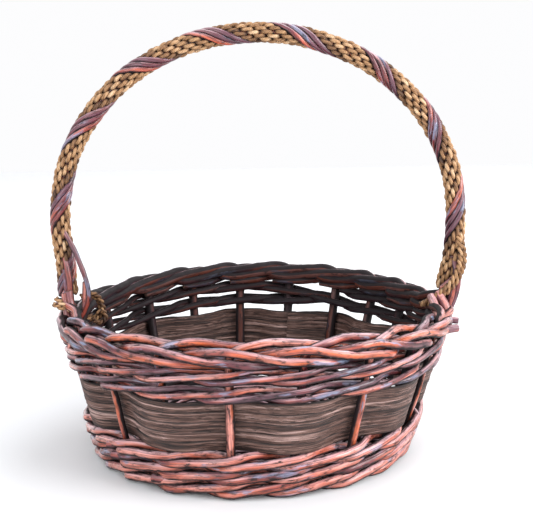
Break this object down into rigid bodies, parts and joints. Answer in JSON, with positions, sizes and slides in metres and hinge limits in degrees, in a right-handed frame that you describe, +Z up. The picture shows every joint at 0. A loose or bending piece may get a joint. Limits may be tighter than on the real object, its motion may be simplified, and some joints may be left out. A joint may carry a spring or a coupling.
{
  "type": "woven market basket",
  "caption": "Round woven basket of varnished willow with a dark bark band, a plaited border and a tall hoop handle wrapped in seagrass cord and willow.",
  "frame": {"origin": "on the ground under the middle of the rim", "axes": "+Z up, the handle's hoop lies in the XZ plane, front towards -Y"},
  "size_m": [0.3312, 0.316, 0.3364],
  "materials": {
    "willow_stake": "glossy varnish over mottled terracotta and grey",
    "willow_lower": "glossy varnish over mottled terracotta and mauve",
    "willow_upper": "satin varnish, mauve brown",
    "bark": "matt dark bark with fine grain",
    "willow_handle": "satin varnish, burgundy",
    "willow_pale": "varnished pale pink willow",
    "seagrass": "matt two-ply twisted grass cord",
    "willow_base": "satin varnish, brown"
  },
  "bodies": {
    "root": {"bark_strip_01": "bark", "bark_strip_02": "bark", "bark_strip_03": "bark", "bark_strip_04": "bark", "bark_strip_05": "bark", "base_stick_01": "willow_base", "base_stick_02": "willow_base", "base_stick_03": "willow_base", "base_stick_04": "willow_base", "base_stick_05": "willow_base", "base_weave_01": "willow_base", "base_weave_02": "willow_base", "base_weave_03": "willow_base", "handle_bow": "willow_handle", "left_foot_loop": "willow_pale", "left_foot_tie": "seagrass", "lower_wale_rod_01": "willow_lower", "lower_wale_rod_02": "willow_lower", "lower_wale_rod_03": "willow_lower", "lower_wale_rod_04": "willow_lower", "lower_wale_rod_05": "willow_lower", "lower_wale_rod_06": "willow_lower", "lower_wale_rod_07": "willow_lower", "lower_wale_rod_08": "willow_lower", "lower_wale_rod_09": "willow_lower", "right_foot_loop": "willow_pale", "seagrass_cord_1": "seagrass", "seagrass_cord_2": "seagrass", "seagrass_cord_3": "seagrass", "seagrass_cord_4": "seagrass", "stake_01": "willow_stake", "stake_02": "willow_stake", "stake_03": "willow_stake", "stake_04": "willow_stake", "stake_05": "willow_stake", "stake_06": "willow_stake", "stake_07": "willow_stake", "stake_08": "willow_stake", "stake_09": "willow_stake", "stake_10": "willow_stake", "stake_11": "willow_stake", "stake_12": "willow_stake", "stake_13": "willow_stake", "stake_14": "willow_stake", "stake_15": "willow_stake", "stake_16": "willow_stake", "stake_17": "willow_stake", "stake_18": "willow_stake", "stake_19": "willow_stake", "stake_20": "willow_stake", "upper_wale_rod_01": "willow_upper", "upper_wale_rod_02": "willow_upper", "upper_wale_rod_03": "willow_upper", "upper_wale_rod_04": "willow_upper", "upper_wale_rod_05": "willow_upper", "upper_wale_rod_06": "willow_upper", "willow_wrap_1": "willow_handle", "willow_wrap_2": "willow_handle", "willow_wrap_3": "willow_handle"}
  },
  "joints": []
}
